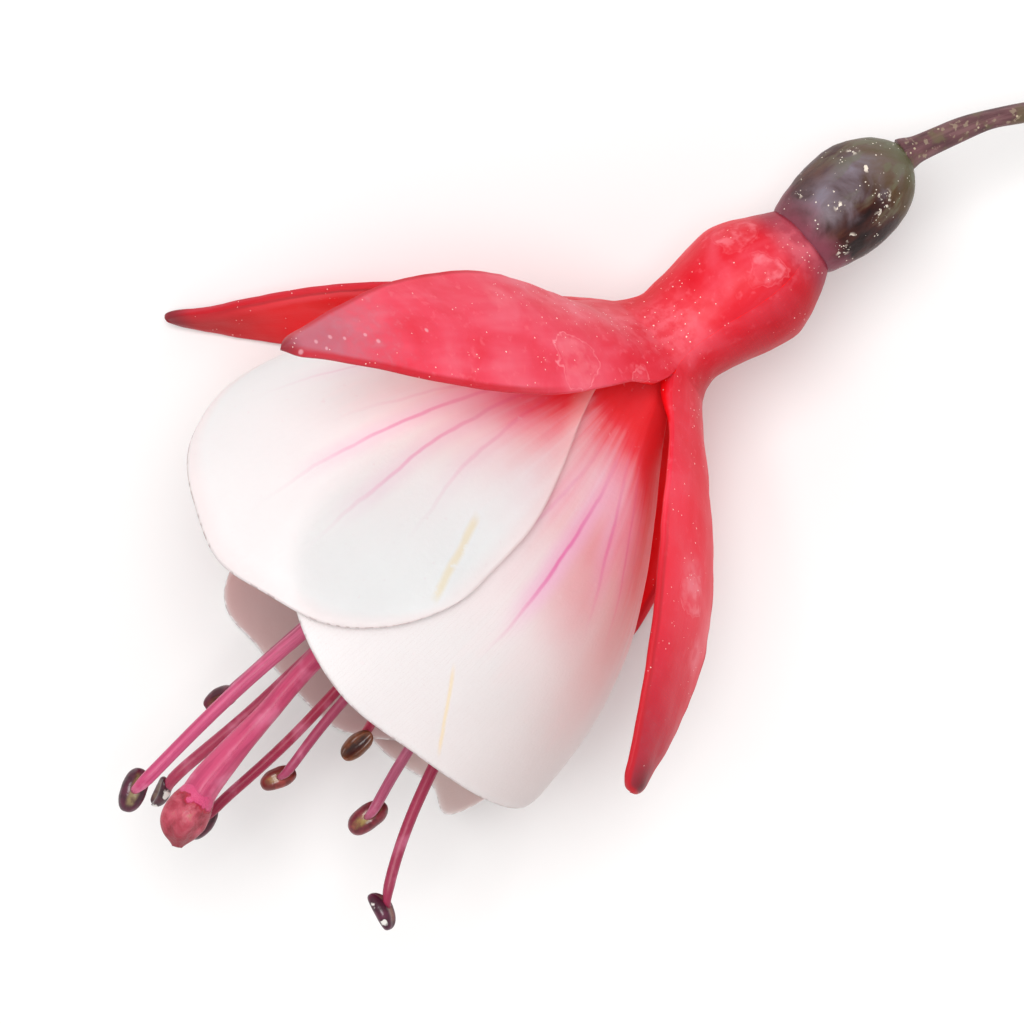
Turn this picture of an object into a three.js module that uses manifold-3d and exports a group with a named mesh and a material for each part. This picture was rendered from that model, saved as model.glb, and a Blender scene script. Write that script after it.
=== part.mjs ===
// A single fuchsia flower, picked with its stalk and laid on its side.
// Lengths are millimetres and angles are degrees. The row frame is +Z up, with the floor at z = 0 and its
// origin where the lowest petal rests. Everything is built in the flower's own frame, which the group at
// the end tips and lifts: x runs from the mouth to the stalk, z points up, and x = 0 is the calyx rim.
// "Azimuth" turns about x from +y towards +z, and "reach" is the distance from the rim towards the mouth.
import * as THREE from "three";
import { mergeVertices } from "three/addons/utils/BufferGeometryUtils.js";
import Module from "manifold-3d";

// How the flower lies.
const AXIS_HEIGHT = 13.9; // of the calyx rim's centre above the floor
const MOUTH_UP = 4; // the mouth is raised by this angle
const REST_REACH = 22; // the reach of the point that rests on the floor, which is the origin
const FLOOR_SOFTNESS = 0.3; // the radius of the bend where a petal or sepal meets the floor
const FLOOR_BITE = 0.08; // what is cut off flat where a piece rests

// The calyx tube's outer and inner profile, as [reach, radius], and how far its axis bows sideways. Solids
// that grow from one another are drawn about 0.3 mm apart here and throughout.
const TUBE_OUTSIDE = [
  [-12.9, 2.72], [-11.4, 3.56], [-10.2, 4.14], [-8.9, 4.48], [-7.3, 4.36],
  [-5.6, 4.02], [-4.0, 3.76], [-3.0, 3.64], [-2.1, 3.88], [-1.5, 4.2], [-0.98, 4.62],
];
const TUBE_INSIDE = [
  [-0.3, 3.85], [-0.9, 3.5], [-1.8, 3.2], [-3.0, 2.62], [-4.2, 2.7],
  [-6.0, 3.0], [-8.3, 3.3], [-10.6, 2.7], [-12.9, 1.2],
];
const TUBE_SIDES = 28;
const TUBE_BOW = { depth: -0.65, from: 1, over: 10 };

const OVARY_PROFILE = [
  [-13.2, 2.7], [-14.4, 3.1], [-15.9, 3.4], [-17.8, 3.46], [-19.4, 3.1],
  [-20.7, 2.42], [-21.5, 1.65], [-22, 0.9],
];
const OVARY_SIDES = 24;
const OVARY_RIDGES = { count: 4, height: 0.06 };

// The stalk's centreline: [reach, y, height above the floor].
const STALK_PATH = [
  [-22.3, -0.9, 12.3], [-24.2, -1.45, 12.05], [-26, -2, 11.7], [-27.8, -2.7, 11.15], [-30.6, -4.2, 9.9],
  [-34, -5.9, 7.8], [-38.5, -7.7, 4.9], [-43, -9, 2.4], [-47.5, -9.9, 1], [-52, -10.3, 0.62],
];
const STALK_RADIUS = { atOvary: 0.92, atCut: 0.65, over: 0.3 }; // over: the share of it that tapers
const STALK_STEPS = 26;
const STALK_SIDES = 10;

// Each sepal's midline is an arc from the rim that leans from the axis by flare[0] at first and flare[1] at
// last. It drifts in azimuth, and hook is how far it turns on again towards its tip. Its blade is twisted
// about the midline, and halfWidths are its half widths at even steps from base to tip.
const SEPAL_START = { reach: -0.18, radius: 4.58 };
const SEPAL_HOOK_POWER = 4;
const SEPAL_THICKNESS = { base: 1.1, tip: 0.9 };
const SEPAL_CUP = { base: 1.1, tip: 0.35 }; // how far the margins turn in towards the corolla
const SEPAL_TWISTED_BY = 0.4; // the share of its length at which a blade has all its twist
const SEPAL_GRID = { rows: 18, columns: 6 };
const SEPALS = {
  sepal_front_upper: {
    azimuth: 63.2, drift: -4.5, hook: 0, length: 30.6, flare: [62, 42], twist: -16,
    halfWidths: [3.1, 3.9, 4.4, 4.35, 3.5, 1.9, 0.4],
  },
  sepal_front_lower: {
    azimuth: 155, drift: -5.5, hook: 0, length: 27.2, flare: [57.5, 28], twist: 6,
    halfWidths: [2.7, 3.9, 4.5, 4.5, 3.7, 2.35, 0.8],
  },
  sepal_back_lower: {
    azimuth: 239.4, drift: 0.2, hook: 0, length: 28, flare: [60, 46], twist: 0,
    halfWidths: [3.1, 3.9, 4.4, 4.35, 3.5, 2.1, 0.5],
  },
  sepal_back_upper: {
    azimuth: 335, drift: -11.8, hook: 6.4, length: 31.4, flare: [52, 43], twist: 0,
    halfWidths: [3.1, 3.9, 4.4, 4.35, 3.65, 2.25, 0.4],
  },
};

// The corolla: four petals on one bell, each from a narrow claw inside the tube's mouth.
const BELL = { throatRadius: 2.5, mouthRadius: 16.7, opening: 11.7, power: 1.52 };
const PETAL_THICKNESS = 0.6;
const PETAL_ROOT = -1.5; // the reach of each claw's end
const CLAW_HALF_ANGLE = 38;
const WIDENING = { until: 15, power: 2.1 }; // the reach at which a blade is full wide, and how soon it widens
const PETAL_LAYER = { step: 0.5, within: 2, turn: 0.3 };
const RIM_WAVE = { height: 0.35, count: 5, phase: 40, from: 17, to: 30 };
const PETAL_GRID = { rows: 14, columns: 16 };
// outline is the reach of the petal's end at even turns from its low margin to its high one. layers are how
// many steps its two margins lie outside the bell, or inside it where another petal overlaps them.
const PETALS = {
  petal_front_upper: {
    claw: 20, blade: 47, half: 57, layers: [2.1, 1],
    outline: [16, 17.5, 19, 20.6, 23, 26.5, 28.5, 29.6, 28.7, 27.3, 24.6, 21.4, 18.8],
  },
  petal_front_lower: {
    claw: 110, blade: 125, half: 62, layers: [-1, 1],
    outline: [18, 24.5, 28, 29.3, 28.1, 26.5, 24.6, 22.6, 18.5],
  },
  petal_back_lower: {
    claw: 200, blade: 225.4, half: 62, layers: [-1, 1],
    outline: [18, 19.5, 21, 22, 24, 28.7, 28.3, 29.2, 29, 28.3, 27, 24, 19],
  },
  petal_back_upper: {
    claw: 290, blade: 296, half: 62, layers: [-1, -1],
    outline: [22, 26.5, 28.6, 30.5, 30.9, 30.9, 30.1, 22, 23, 22.5, 21, 18.5, 16.5],
  },
};

// Stamens: the azimuth of the root, a point on the way, the filament's tip, and the anther's middle, its
// long direction and the direction of its back, where the filament meets it, all as [reach, y, z]. radius is
// the filament's, and size scales the anther.
const FILAMENT_ROOT = { reach: -3.4, radius: 1.5 };
const FILAMENT_TAPER = { base: 1.06, tip: 0.94 };
const FILAMENT_STEPS = 12;
const FILAMENT_SIDES = 8;
const ANTHER = { length: 2.95, width: 1.6, thickness: 1.3, groove: 0.3, bow: 0.35 };
const ANTHER_STEPS = 8;
const ANTHER_SIDES = 12;
const STAMENS = [
  {
    root: 65, way: [32.8, 1.4, 3.9], tip: [42.5, 0.8, 4.6], radius: 0.47, size: 1,
    anther: [43.05, 0.85, 3.4], along: [2.7, -1.5, 0.2], back: [-0.3, 0, 1],
  },
  {
    root: 20, way: [29, 1.7, -0.8], tip: [33.5, 1.65, -1.6], radius: 0.36, size: 0.85,
    anther: [34.95, 1.7, -1.9], along: [2.3, 0.6, -1.2], back: [-1, 0, -0.6],
  },
  {
    root: 335, way: [33.5, -0.22, -1.8], tip: [41, -0.25, -1.6], radius: 0.42, size: 0.82,
    anther: [41.9, -0.42, -2.5], along: [1.9, -0.8, -1.8], back: [-0.9, 0, 0.5],
  },
  {
    root: 290, way: [33, -3.25, -2.9], tip: [39.7, -3.45, -3.15], radius: 0.37, size: 0.92,
    anther: [41.3, -3.6, -3.7], along: [2.6, -0.5, -0.6], back: [-0.3, 0, 1],
  },
  {
    root: 110, way: [30.65, -4.03, 1.6], tip: [35.15, -4.73, 1.6], radius: 0.34, size: 0.83,
    anther: [35.6, -4.65, 0.65], along: [2.3, 0.8, 0.3], back: [-0.3, 0, 1],
  },
  {
    root: 245, way: [27.2, -5.5, -3.9], tip: [29.4, -6.25, -5.1], radius: 0.34, size: 0.85,
    anther: [30.4, -6.45, -4.2], along: [2.5, 0, 0.2], back: [-0.5, 0.1, -0.9],
  },
  {
    root: 200, way: [29.25, -9.2, -0.3], tip: [32.5, -10.3, 0.1], radius: 0.38, size: 1,
    anther: [32.95, -10.4, -1.05], along: [3, 0.2, -0.2], back: [-0.4, 0.1, 0.9],
  },
  {
    root: 155, way: [30, -11.7, 2.7], tip: [35.2, -14.8, 3.3], radius: 0.4, size: 0.9,
    anther: [36.05, -15.4, 2.9], along: [0.6, -2.5, 0.4], back: [-0.8, 0, 0.5],
  },
];

// The pistil: the style runs from the ovary through the tube, and the stigma caps it.
const STYLE_PATH = [
  [-12.9, -0.65, 0], [-6, -0.25, 0], [0, 0, 0], [14, 0, 0.7], [29.3, -0.45, 1.3],
  [33.45, -1, 1.6], [36.8, -1.4, 1.75], [39.2, -1.76, 1.8],
];
const STYLE_RADII = [0.45, 0.45, 0.48, 0.55, 0.63, 0.7, 1.05]; // at even steps from the ovary to the stigma
const STYLE_STEPS = 24;
const STYLE_SIDES = 10;
const STIGMA_PATH = [[39.6, -1.88, 1.8], [40.4, -2.13, 1.8], [42, -2.7, 1.8], [43.4, -3.7, 1.7]];
const STIGMA_RADII = [0.95, 1.18, 1.36, 1.41, 1.32, 0.95, 0.3]; // at even steps from the style to the tip
const STIGMA_LOBES = { count: 4, depth: 0.1, phase: 30 };
const STIGMA_STEPS = 9;
const STIGMA_SIDES = 20;

const COLOURS = {
  sepal: { color: "#e8354f", roughness: 0.5 },
  petal: { color: "#f3e9e9", roughness: 0.55 },
  ovary: { color: "#4b4438", roughness: 0.4 },
  stalk: { color: "#7a4a48", roughness: 0.55 },
  filament: { color: "#c63a66", roughness: 0.45 },
  anther: { color: "#57242c", roughness: 0.5 },
  style: { color: "#d2456c", roughness: 0.45 },
  stigma: { color: "#b8404f", roughness: 0.6 },
};

const wasm = await Module();
wasm.setup();

const { lerp, degToRad, clamp } = THREE.MathUtils;
const sin = (degrees) => Math.sin(degToRad(degrees));
const cos = (degrees) => Math.cos(degToRad(degrees));
const smooth = (t) => THREE.MathUtils.smoothstep(t, 0, 1);
const at = (reach, y, z) => new THREE.Vector3(-reach, y, z);
const around = (reach, azimuth, radius) => at(reach, radius * cos(azimuth), radius * sin(azimuth));

// The floor seen from the flower's frame: its upward normal, and a point's height above it.
const FLOOR_UP = new THREE.Vector3(-sin(MOUTH_UP), 0, cos(MOUTH_UP));
const heightOf = (point) => AXIS_HEIGHT + point.dot(FLOOR_UP);

// Lifts a point that would lie under `least` above the floor up to it, with a soft bend.
function pressed(point, least) {
  const height = heightOf(point);
  const over = (height - least) / FLOOR_SOFTNESS;
  const soft = least + FLOOR_SOFTNESS * (over > 30 ? over : Math.log1p(Math.exp(over)));
  return point.addScaledVector(FLOOR_UP, soft - height);
}

// A geometry from a list of points and triangles, with only positions, as a closed mesh needs.
function geometryOf(points, triangles) {
  const geometry = new THREE.BufferGeometry().setFromPoints(points);
  geometry.setIndex(triangles);
  geometry.computeVertexNormals();
  return geometry;
}

// A closed blade of even or tapering thickness about the surface pointAt(u, v), u and v from 0 to 1.
// Both faces are split into the same triangles.
function bladeGeometry(pointAt, thicknessAt, { rows, columns }) {
  const step = 1e-3;
  const points = [];
  for (const side of [1, -1]) {
    for (let i = 0; i <= rows; i++) {
      for (let j = 0; j <= columns; j++) {
        const u = i / rows;
        const v = j / columns;
        const alongU = pointAt(Math.min(u + step, 1), v).sub(pointAt(Math.max(u - step, 0), v));
        const alongV = pointAt(u, Math.min(v + step, 1)).sub(pointAt(u, Math.max(v - step, 0)));
        const normal = alongV.cross(alongU).normalize();
        points.push(pointAt(u, v).addScaledVector(normal, (side * thicknessAt(u)) / 2));
      }
    }
  }
  const across = columns + 1;
  const back = across * (rows + 1);
  const triangles = [];
  for (let i = 0; i < rows; i++) {
    for (let j = 0; j < columns; j++) {
      const a = i * across + j;
      const [b, c, d] = [a + 1, a + across, a + across + 1];
      triangles.push(a, b, d, a, d, c);
      triangles.push(back + a, back + d, back + b, back + a, back + c, back + d);
    }
  }
  const wall = (a, b) => triangles.push(b, a, back + a, b, back + a, back + b);
  const last = rows * across;
  for (let j = 0; j < columns; j++) {
    wall(j, j + 1);
    wall(last + j + 1, last + j);
  }
  for (let i = 0; i < rows; i++) {
    wall((i + 1) * across, i * across);
    wall(i * across + columns, (i + 1) * across + columns);
  }
  return geometryOf(points, triangles);
}

// A closed body swept along a curve: radiusAt(t, angle) gives its outline, and both ends are capped flat.
function sweptGeometry(curve, radiusAt, steps, sides) {
  const { normals, binormals } = curve.computeFrenetFrames(steps, false);
  const points = [];
  for (let i = 0; i <= steps; i++) {
    const centre = curve.getPointAt(i / steps);
    for (let k = 0; k < sides; k++) {
      const angle = (360 * k) / sides;
      const radius = radiusAt(i / steps, angle);
      points.push(
        centre.clone()
          .addScaledVector(normals[i], radius * cos(angle))
          .addScaledVector(binormals[i], radius * sin(angle)),
      );
    }
  }
  points.push(curve.getPointAt(0), curve.getPointAt(1));
  const [startCap, endCap] = [points.length - 2, points.length - 1];
  const triangles = [];
  for (let k = 0; k < sides; k++) {
    const next = (k + 1) % sides;
    for (let i = 0; i < steps; i++) {
      const [a, b] = [i * sides + k, i * sides + next];
      triangles.push(a, b, b + sides, a, b + sides, a + sides);
    }
    triangles.push(startCap, next, k, endCap, steps * sides + k, steps * sides + next);
  }
  return geometryOf(points, triangles);
}

// A body turned about the flower's bowed axis, from a profile of [reach, radius] points. A looped profile
// closes on itself, and any other is capped flat at both ends.
function turnedGeometry(profile, sides, looped, ridgeAt = () => 0) {
  const bowAt = (reach) => TUBE_BOW.depth * smooth((-reach - TUBE_BOW.from) / TUBE_BOW.over);
  const points = [];
  for (const [reach, radius] of profile) {
    for (let k = 0; k < sides; k++) {
      const azimuth = (360 * k) / sides;
      const point = around(reach, azimuth, radius + ridgeAt(reach, azimuth));
      point.y += bowAt(reach);
      points.push(point);
    }
  }
  const rings = profile.length;
  const triangles = [];
  for (let i = 0; i < (looped ? rings : rings - 1); i++) {
    for (let k = 0; k < sides; k++) {
      const next = (k + 1) % sides;
      const [a, b] = [i * sides + k, i * sides + next];
      const [c, d] = [((i + 1) % rings) * sides + k, ((i + 1) % rings) * sides + next];
      triangles.push(a, b, d, a, d, c);
    }
  }
  if (!looped) {
    for (const ring of [0, rings - 1]) {
      const [reach] = profile[ring];
      points.push(at(reach, bowAt(reach), 0));
      for (let k = 0; k < sides; k++) {
        const edge = [ring * sides + k, ring * sides + ((k + 1) % sides)];
        triangles.push(points.length - 1, ...(ring ? edge : edge.reverse()));
      }
    }
  }
  return geometryOf(points, triangles);
}

// A value between numbers given at even steps, on a smooth curve.
function smoothValue(numbers, t) {
  const points = numbers.map((number, i) => new THREE.Vector2(i, number));
  return new THREE.SplineCurve(points).getPoint(clamp(t, 0, 1)).y;
}

// manifold-3d's solid of a geometry, and a geometry of what stays of it above the floor.
function solidOf(geometry) {
  const bare = geometry.clone();
  bare.deleteAttribute("normal");
  const merged = mergeVertices(bare, 1e-4);
  return new wasm.Manifold(
    new wasm.Mesh({
      numProp: 3,
      vertProperties: merged.attributes.position.array,
      triVerts: new Uint32Array(merged.index.array),
    }),
  );
}

function trimmedAtFloor(geometry) {
  const size = 200;
  const below = new THREE.BoxGeometry(size, size, size);
  below.deleteAttribute("uv");
  below.translate(0, 0, -size / 2);
  below.rotateY(degToRad(-MOUTH_UP));
  below.translate(...FLOOR_UP.clone().multiplyScalar(-AXIS_HEIGHT).toArray());
  const mesh = solidOf(geometry).subtract(solidOf(below)).getMesh();
  const trimmed = new THREE.BufferGeometry();
  trimmed.setAttribute("position", new THREE.BufferAttribute(mesh.vertProperties, 3));
  trimmed.setIndex(new THREE.BufferAttribute(mesh.triVerts, 1));
  trimmed.computeVertexNormals();
  return trimmed;
}

function calyxTube() {
  return turnedGeometry([...TUBE_OUTSIDE, ...TUBE_INSIDE].reverse(), TUBE_SIDES, true);
}

function ovary() {
  const ridge = (reach, azimuth) => {
    const share = (reach - OVARY_PROFILE[0][0]) / (OVARY_PROFILE.at(-1)[0] - OVARY_PROFILE[0][0]);
    return OVARY_RIDGES.height * sin(180 * clamp(share, 0, 1)) * cos(OVARY_RIDGES.count * azimuth);
  };
  return turnedGeometry(OVARY_PROFILE, OVARY_SIDES, false, ridge);
}

function stalk() {
  const points = STALK_PATH.map(([reach, y, height]) => {
    const point = at(reach, y, 0);
    return point.addScaledVector(FLOOR_UP, height - heightOf(point));
  });
  const curve = new THREE.CatmullRomCurve3(points);
  const radiusAt = (t) => lerp(STALK_RADIUS.atOvary, STALK_RADIUS.atCut, smooth(t / STALK_RADIUS.over));
  return trimmedAtFloor(sweptGeometry(curve, radiusAt, STALK_STEPS, STALK_SIDES));
}

function sepal({ azimuth, drift, hook, length, flare, twist, halfWidths }) {
  const bend = degToRad(flare[0] - flare[1]);
  const pointAt = (u, v) => {
    const lean = lerp(flare[0], flare[1], u);
    const reach = SEPAL_START.reach + (length * (sin(flare[0]) - sin(lean))) / bend;
    const radius = SEPAL_START.radius + (length * (cos(lean) - cos(flare[0]))) / bend;
    const turn = azimuth + drift * smooth(u) + hook * u ** SEPAL_HOOK_POWER;
    const outward = around(0, turn, cos(lean)).add(at(-sin(lean), 0, 0));
    const sideways = around(0, turn + 90, 1);
    const twisted = twist * smooth(u / SEPAL_TWISTED_BY);
    const across = lerp(-1, 1, v) * smoothValue(halfWidths, u);
    const cup = lerp(SEPAL_CUP.base, SEPAL_CUP.tip, smooth(u)) * lerp(-1, 1, v) ** 2;
    const point = around(reach, turn, radius)
      .addScaledVector(sideways, across * cos(twisted) + cup * sin(twisted))
      .addScaledVector(outward, across * sin(twisted) - cup * cos(twisted));
    return pressed(point, SEPAL_THICKNESS.tip / 2 - FLOOR_BITE);
  };
  const thicknessAt = (u) => lerp(SEPAL_THICKNESS.base, SEPAL_THICKNESS.tip, u);
  return trimmedAtFloor(bladeGeometry(pointAt, thicknessAt, SEPAL_GRID));
}

function bellRadius(reach) {
  const share = 1 - Math.exp(-((Math.max(reach, 0) / BELL.opening) ** BELL.power));
  return lerp(BELL.throatRadius, BELL.mouthRadius, share);
}

// A petal is a patch of the bell.
function petal({ claw, blade, half, layers, outline }) {
  const pointAt = (u, v) => {
    const across = sin(lerp(-90, 90, v));
    const reach = lerp(PETAL_ROOT, smoothValue(outline, v), u);
    const widened = 1 - (1 - clamp(reach / WIDENING.until, 0, 1)) ** WIDENING.power;
    const azimuth = lerp(claw, blade, widened) + across * lerp(CLAW_HALF_ANGLE, half, widened);
    const wave = RIM_WAVE.height * smooth((reach - RIM_WAVE.from) / (RIM_WAVE.to - RIM_WAVE.from))
      * sin(RIM_WAVE.count * azimuth + RIM_WAVE.phase);
    const side = lerp(layers[0], layers[1], smooth((across / PETAL_LAYER.turn + 1) / 2));
    const layer = PETAL_LAYER.step * smooth(reach / PETAL_LAYER.within) * side;
    const slope = Math.atan((bellRadius(reach + 0.05) - bellRadius(reach - 0.05)) / 0.1);
    const outward = layer + wave;
    const point = around(
      reach - outward * Math.sin(slope), azimuth, bellRadius(reach) + outward * Math.cos(slope),
    );
    return pressed(point, PETAL_THICKNESS / 2 - FLOOR_BITE + PETAL_LAYER.step - layer);
  };
  return trimmedAtFloor(bladeGeometry(pointAt, () => PETAL_THICKNESS, PETAL_GRID));
}

function filament({ root, way, tip, radius }) {
  const rootAt = (reach) => around(reach, root, FILAMENT_ROOT.radius);
  const curve = new THREE.CatmullRomCurve3([rootAt(FILAMENT_ROOT.reach), rootAt(1), at(...way), at(...tip)]);
  const radiusAt = (t) => radius * lerp(FILAMENT_TAPER.base, FILAMENT_TAPER.tip, t);
  return sweptGeometry(curve, radiusAt, FILAMENT_STEPS, FILAMENT_SIDES);
}

// The unit direction from an anther to its filament, square to the anther's length.
function backwards({ along, back }) {
  const length = at(...along).normalize();
  const direction = at(...back);
  return direction.addScaledVector(length, -direction.dot(length)).normalize();
}

// An anther lies along its own x, with its filament behind it on +z and its groove on -z.
function anther() {
  const bow = (x) => ANTHER.bow * (1 - ((2 * x) / ANTHER.length) ** 2);
  const end = ANTHER.length / 2;
  const ring = (x) => Math.sqrt(Math.max(1 - (x / end) ** 2, 0));
  const points = [];
  const triangles = [];
  for (let i = 1; i < ANTHER_STEPS; i++) {
    const x = -end * cos((180 * i) / ANTHER_STEPS);
    for (let k = 0; k < ANTHER_SIDES; k++) {
      const angle = (360 * k) / ANTHER_SIDES;
      const groove = ANTHER.groove * Math.max(-sin(angle), 0) ** 6;
      const y = (ANTHER.width / 2) * cos(angle) * ring(x);
      const z = (ANTHER.thickness / 2 - groove) * sin(angle) * ring(x) + bow(x) - ANTHER.bow;
      points.push(new THREE.Vector3(x, y, z));
    }
  }
  points.push(new THREE.Vector3(-end, 0, -ANTHER.bow), new THREE.Vector3(end, 0, -ANTHER.bow));
  const lastRing = (ANTHER_STEPS - 2) * ANTHER_SIDES;
  for (let k = 0; k < ANTHER_SIDES; k++) {
    const next = (k + 1) % ANTHER_SIDES;
    for (let i = 0; i < lastRing; i += ANTHER_SIDES) {
      const [a, b] = [i + k, i + next];
      triangles.push(a, b, b + ANTHER_SIDES, a, b + ANTHER_SIDES, a + ANTHER_SIDES);
    }
    triangles.push(points.length - 2, next, k, points.length - 1, lastRing + k, lastRing + next);
  }
  return geometryOf(points, triangles);
}

function style() {
  const curve = new THREE.CatmullRomCurve3(STYLE_PATH.map((point) => at(...point)));
  return sweptGeometry(curve, (t) => smoothValue(STYLE_RADII, t), STYLE_STEPS, STYLE_SIDES);
}

function stigma() {
  const curve = new THREE.CatmullRomCurve3(STIGMA_PATH.map((point) => at(...point)));
  const radiusAt = (t, angle) => {
    const lobes = STIGMA_LOBES.depth * smooth(1.4 * t) * cos(STIGMA_LOBES.count * angle + STIGMA_LOBES.phase);
    return smoothValue(STIGMA_RADII, t) * (1 + lobes);
  };
  return sweptGeometry(curve, radiusAt, STIGMA_STEPS, STIGMA_SIDES);
}

const flower = new THREE.Group();
flower.rotation.y = degToRad(MOUTH_UP);
flower.position.set(0, 0, AXIS_HEIGHT);

function add(name, geometry, colour) {
  const material = new THREE.MeshStandardMaterial({ ...COLOURS[colour], metalness: 0 });
  const mesh = new THREE.Mesh(geometry, material);
  mesh.name = name;
  flower.add(mesh);
  return mesh;
}

add("stalk", stalk(), "stalk");
add("ovary", ovary(), "ovary");
add("calyx_tube", calyxTube(), "sepal");
for (const [name, shape] of Object.entries(SEPALS)) add(name, sepal(shape), "sepal");
for (const [name, shape] of Object.entries(PETALS)) add(name, petal(shape), "petal");
STAMENS.forEach((stamen, i) => {
  add(`filament_${i + 1}`, filament(stamen), "filament");
  const head = add(`anther_${i + 1}`, anther(), "anther");
  const back = backwards(stamen);
  const length = at(...stamen.along).normalize();
  head.position.copy(at(...stamen.anther));
  head.scale.setScalar(stamen.size);
  head.quaternion.setFromRotationMatrix(
    new THREE.Matrix4().makeBasis(length, back.clone().cross(length), back),
  );
});
add("style", style(), "style");
add("stigma", stigma(), "stigma");

const part = new THREE.Group();
part.add(flower);
part.position.x = REST_REACH;
export default part;
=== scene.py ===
"""A single fuchsia flower, picked with its stalk and laid on its side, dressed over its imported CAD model.

Shapes are worked out in millimetres in the flower's own frame, as in the CAD source: x runs from the mouth
to the stalk, z points up, and x = 0 is the calyx rim. "Reach" is the distance from the rim towards the mouth,
and "azimuth" turns about x from +y towards +z, in degrees. in_row() brings points into the row frame, in
metres.
"""
from functools import reduce

import bmesh
import bpy
import numpy as np
from mathutils import Matrix, Vector, noise


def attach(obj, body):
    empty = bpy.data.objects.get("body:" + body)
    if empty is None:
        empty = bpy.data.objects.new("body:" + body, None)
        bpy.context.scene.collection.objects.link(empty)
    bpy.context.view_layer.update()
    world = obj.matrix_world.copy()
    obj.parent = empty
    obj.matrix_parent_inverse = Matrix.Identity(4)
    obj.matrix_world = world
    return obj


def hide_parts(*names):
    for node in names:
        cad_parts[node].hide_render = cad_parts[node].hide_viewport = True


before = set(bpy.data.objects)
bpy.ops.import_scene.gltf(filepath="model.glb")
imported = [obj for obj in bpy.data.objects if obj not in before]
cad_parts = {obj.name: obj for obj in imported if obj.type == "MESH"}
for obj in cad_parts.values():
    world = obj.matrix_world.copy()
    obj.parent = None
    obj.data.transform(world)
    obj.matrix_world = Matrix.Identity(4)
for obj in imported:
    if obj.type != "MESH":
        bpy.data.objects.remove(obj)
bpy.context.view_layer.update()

MM = 0.001

# How the flower lies, as in the CAD source.
AXIS_HEIGHT = 13.9
MOUTH_UP = 4.0
REST_REACH = 22.0
FLOOR_SOFTNESS = 0.3


# ---------------------------------------------------------------- geometry helpers

def lerp(a, b, t):
    return a + (b - a) * t


def smooth(t):
    t = np.clip(t, 0.0, 1.0)
    return t * t * (3 - 2 * t)


def sin(degrees):
    return np.sin(np.radians(degrees))


def cos(degrees):
    return np.cos(np.radians(degrees))


def stacked(*parts):
    """Arrays of one shape, or of shapes that fit, put together as the parts of points."""
    return np.stack(np.broadcast_arrays(*parts), -1)


def at(reach, y, z):
    return stacked(-reach, y, z).astype(float)


def around(reach, azimuth, radius):
    return at(reach, radius * cos(azimuth), radius * sin(azimuth))


def unit(vectors):
    return vectors / np.linalg.norm(vectors, axis=-1, keepdims=True)


FLOOR_UP = np.array([-sin(MOUTH_UP), 0.0, cos(MOUTH_UP)])


def height_of(points):
    return AXIS_HEIGHT + points @ FLOOR_UP


def pressed(points, least):
    """Lifts points that would lie under `least` above the floor up to it, with a soft bend."""
    height = height_of(points)
    over = (height - least) / FLOOR_SOFTNESS
    soft = least + FLOOR_SOFTNESS * np.logaddexp(0.0, over)
    return points + (soft - height)[..., None] * FLOOR_UP


def in_row(points):
    """Flower frame in mm to row frame in metres, with nothing under the floor."""
    x = REST_REACH + points[..., 0] * cos(MOUTH_UP) + points[..., 2] * sin(MOUTH_UP)
    height = np.maximum(height_of(points), 0.0)
    return stacked(x, points[..., 1], height) * MM


def cubic(p1, p2, start, end, w):
    """Runs from p1 at w = 0 to p2 at w = 1, with the slopes `start` and `end` there."""
    third = 2 * p1 - 2 * p2 + start + end
    second = 3 * p2 - 3 * p1 - 2 * start - end
    return third * w**3 + second * w**2 + start * w + p1


def spline(values, t):
    """A smooth curve through values given at even steps, read at t from 0 to 1."""
    p = np.asarray(values, float)
    last = len(p) - 1
    place = np.clip(t, 0.0, 1.0) * last
    i = np.minimum(place.astype(int), last - 1)
    w = place - i
    if p.ndim > 1:
        w = w[..., None]
    p0, p1, p2, p3 = p[np.maximum(i - 1, 0)], p[i], p[i + 1], p[np.minimum(i + 2, last)]
    return cubic(p1, p2, (p2 - p0) / 2, (p3 - p1) / 2, w)


def lengths_along(line):
    steps = np.linalg.norm(np.diff(line, axis=0), axis=1)
    return np.concatenate([[0], np.cumsum(steps)])


def curve_through(points, steps):
    """steps + 1 points at even distances on a centripetal Catmull-Rom curve."""
    p = np.asarray(points, float)
    p = np.vstack([2 * p[0] - p[1], p, 2 * p[-1] - p[-2]])
    w = np.linspace(0, 1, 60, endpoint=False)[:, None]
    fine = []
    for p0, p1, p2, p3 in zip(p, p[1:], p[2:], p[3:]):
        a, b, c = (np.linalg.norm(q - r) ** 0.5 for q, r in ((p1, p0), (p2, p1), (p3, p2)))
        start = ((p1 - p0) / a - (p2 - p0) / (a + b) + (p2 - p1) / b) * b
        end = ((p2 - p1) / b - (p3 - p1) / (b + c) + (p3 - p2) / c) * b
        fine.append(cubic(p1, p2, start, end, w))
    fine = np.vstack([*fine, p[-2:-1]])
    along = lengths_along(fine)
    even = np.linspace(0, along[-1], steps + 1)
    return stacked(*(np.interp(even, along, fine[:, k]) for k in range(3)))


def frames_along(line, first):
    """Two directions across a line that turn as little as possible along it, starting from `first`."""
    tangents = unit(np.gradient(line, axis=0))
    sides = []
    side = np.asarray(first, float)
    for tangent in tangents:
        side = side - tangent * (side @ tangent)
        side = side / np.linalg.norm(side)
        sides.append(side)
    sides = np.array(sides)
    return sides, np.cross(tangents, sides)


def rough(points, size, seed):
    """Smooth noise from -1 to 1 at each point, with features of about `size` mm."""
    flat = points.reshape(-1, 3) / size + seed
    return np.array([noise.noise(Vector(p)) for p in flat]).reshape(points.shape[:-1])


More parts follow.
